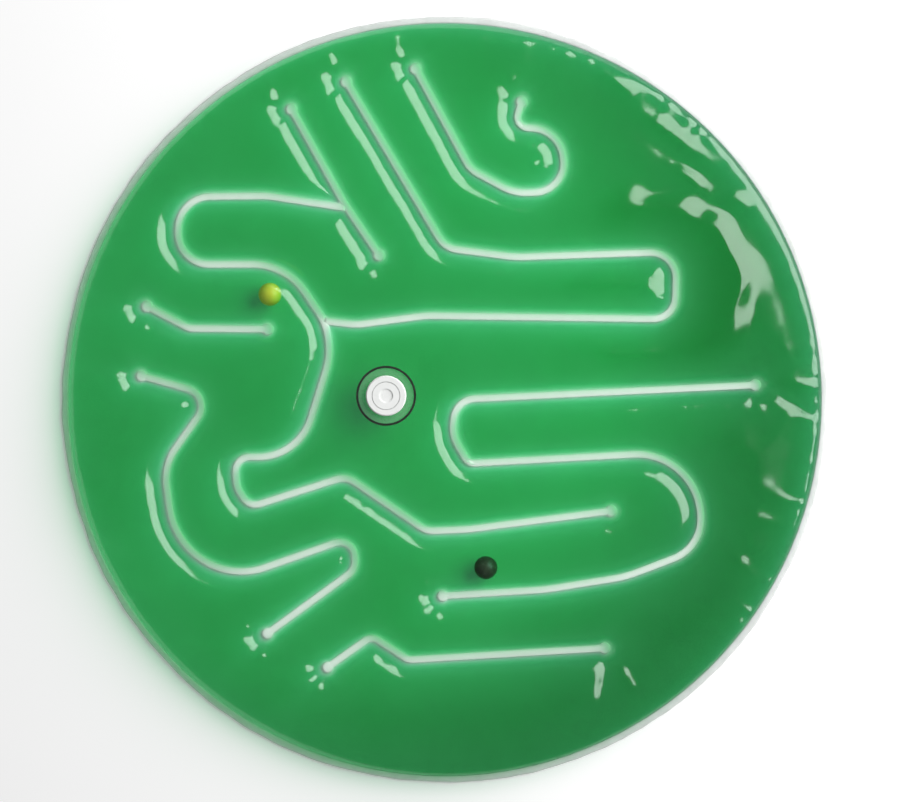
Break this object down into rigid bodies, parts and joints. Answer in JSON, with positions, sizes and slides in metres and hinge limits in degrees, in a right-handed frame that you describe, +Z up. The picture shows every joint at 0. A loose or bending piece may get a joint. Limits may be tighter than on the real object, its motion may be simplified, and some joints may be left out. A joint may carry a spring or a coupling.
{
  "type": "gel marble maze pad",
  "caption": "Round gel-filled pad of clear film welded into a winding maze, with loose marbles to push along its channels and a plugged filler port.",
  "frame": {"origin": "centre of the pad's underside, on the table", "axes": "+Z up out of the top film, +Y towards the top of the picture, +X to its right"},
  "size_m": [0.4199, 0.42, 0.0184],
  "materials": {
    "clear_film": "clear glossy soft vinyl",
    "green_gel": "clear green gel",
    "fused_film": "fused vinyl, pale and glossy",
    "yellow_glass": "polished opaque glass",
    "black_glass": "polished dark glass with fine flecks",
    "clear_fitting": "clear moulded vinyl",
    "white_fitting": "smooth moulded plastic",
    "black_mark": "printed ink"
  },
  "bodies": {
    "pad": {"bottom_film": "clear_film", "top_film": "clear_film", "gel_fill": "green_gel", "rim_weld": "fused_film", "diagonal_weld": "fused_film", "long_weld": "fused_film", "right_loop_weld": "fused_film", "hook_weld": "fused_film", "short_weld": "fused_film", "left_snake_weld": "fused_film", "right_snake_weld": "fused_film", "bottom_weld": "fused_film", "filler_port": "clear_fitting", "port_collar": "white_fitting", "port_ring": "black_mark"},
    "yellow": {"yellow_marble": "yellow_glass"},
    "black": {"black_marble": "black_glass"},
    "stopper": {"filler_stopper": "white_fitting"}
  },
  "joints": [
    {"name": "yellow_marble_slide", "type": "slide", "parent": "pad", "child": "yellow", "axis": [-0.9934, 0.1151, 0], "range_m": [-0.0035, 0.079]},
    {"name": "black_marble_slide", "type": "slide", "parent": "pad", "child": "black", "axis": [0.9737, 0.2278, 0], "range_m": [-0.0075, 0.1044]},
    {"name": "stopper_pull", "type": "slide", "parent": "pad", "child": "stopper", "axis": [0, 0, 1], "range_m": [0, 0.012]}
  ]
}
